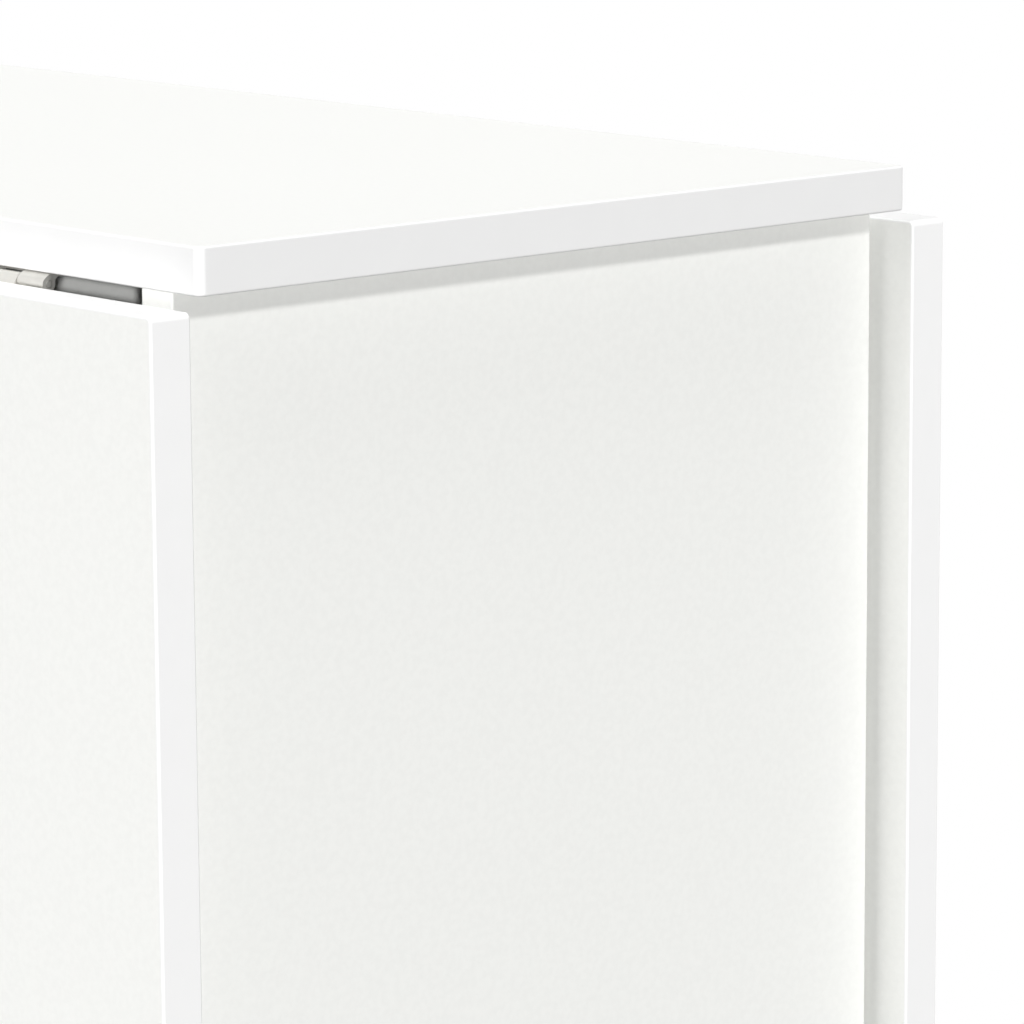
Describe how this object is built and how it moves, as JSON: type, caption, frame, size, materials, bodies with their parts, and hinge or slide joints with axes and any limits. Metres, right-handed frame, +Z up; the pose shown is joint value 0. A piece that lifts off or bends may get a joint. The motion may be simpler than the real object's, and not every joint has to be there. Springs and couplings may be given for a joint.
{
  "type": "drop-leaf bookcase cabinet",
  "caption": "White drop-leaf bookcase: a shelved carcass with a narrow fixed top and full-length leaves that hang over its long sides and lift level on butt hinges.",
  "frame": {"origin": "floor level, at the centre of the footprint", "axes": "+X along the length, +Y towards the rear leaf, +Z up"},
  "size_m": [0.8, 0.3366, 0.75],
  "materials": {
    "board_white": "white melamine face on chipboard, smooth satin",
    "band_white": "white plastic edge band, satin, rounded long edges",
    "hinge_nickel": "nickel-plated pressed steel, satin",
    "screw_nickel": "nickel-plated steel, satin",
    "stay_zinc": "bright zinc-plated steel strip",
    "cam_zinc": "die-cast zinc, matt",
    "pin_steel": "nickel-plated steel",
    "dowel_wood": "plain beech, fluted stock",
    "glide_plastic": "white moulded plastic",
    "bumper_rubber": "soft translucent white rubber"
  },
  "bodies": {
    "carcass": {"top_panel": "board_white", "top_edge_band": "band_white", "side_panel_left": "board_white", "side_panel_right": "board_white", "centre_panel": "board_white", "bottom_panel": "board_white", "plinth_front": "board_white", "plinth_rear": "board_white", "shelf_front_upper": "board_white", "shelf_front_lower": "board_white", "shelf_rear_upper": "board_white", "shelf_rear_lower": "board_white", "shelf_pins": "pin_steel", "cam_locks": "cam_zinc", "cam_bolts": "pin_steel", "wood_dowels": "dowel_wood", "glides": "glide_plastic", "hinge_top_plates_front": "hinge_nickel", "hinge_top_plates_rear": "hinge_nickel", "hinge_pins_front": "hinge_nickel", "hinge_pins_rear": "hinge_nickel", "hinge_top_screws": "screw_nickel", "stay_studs": "stay_zinc"},
    "leaf_front": {"leaf_front": "board_white", "leaf_front_edge_band": "band_white", "hinge_leaf_plates_front": "hinge_nickel", "hinge_leaf_screws_front": "screw_nickel", "leaf_bumpers_front": "bumper_rubber", "stay_brackets_front": "stay_zinc", "stay_bracket_screws_front": "screw_nickel", "stay_rivets_front": "stay_zinc"},
    "leaf_rear": {"leaf_rear": "board_white", "leaf_rear_edge_band": "band_white", "hinge_leaf_plates_rear": "hinge_nickel", "hinge_leaf_screws_rear": "screw_nickel", "leaf_bumpers_rear": "bumper_rubber", "stay_brackets_rear": "stay_zinc", "stay_bracket_screws_rear": "screw_nickel", "stay_rivets_rear": "stay_zinc"},
    "stays_front": {"stay_bars_front": "stay_zinc"},
    "stays_rear": {"stay_bars_rear": "stay_zinc"}
  },
  "joints": [
    {"name": "leaf_front_hinge", "type": "hinge", "parent": "carcass", "child": "leaf_front", "pos_m": [0, -0.15, 0.7317], "axis": [-1, 0, 0], "range_deg": [0, 90]},
    {"name": "leaf_rear_hinge", "type": "hinge", "parent": "carcass", "child": "leaf_rear", "pos_m": [0, 0.15, 0.7317], "axis": [1, 0, 0], "range_deg": [0, 90]},
    {"name": "stay_front_pivot", "type": "hinge", "parent": "leaf_front", "child": "stays_front", "pos_m": [0, -0.14338, 0.65599], "axis": [-1, 0, 0], "range_deg": [-45, 0]},
    {"name": "stay_rear_pivot", "type": "hinge", "parent": "leaf_rear", "child": "stays_rear", "pos_m": [0, 0.14338, 0.65599], "axis": [1, 0, 0], "range_deg": [-45, 0]}
  ],
  "couplings": [
    {"joint": "stay_front_pivot", "follows": "leaf_front_hinge", "ratio": -0.5},
    {"joint": "stay_rear_pivot", "follows": "leaf_rear_hinge", "ratio": -0.5}
  ]
}
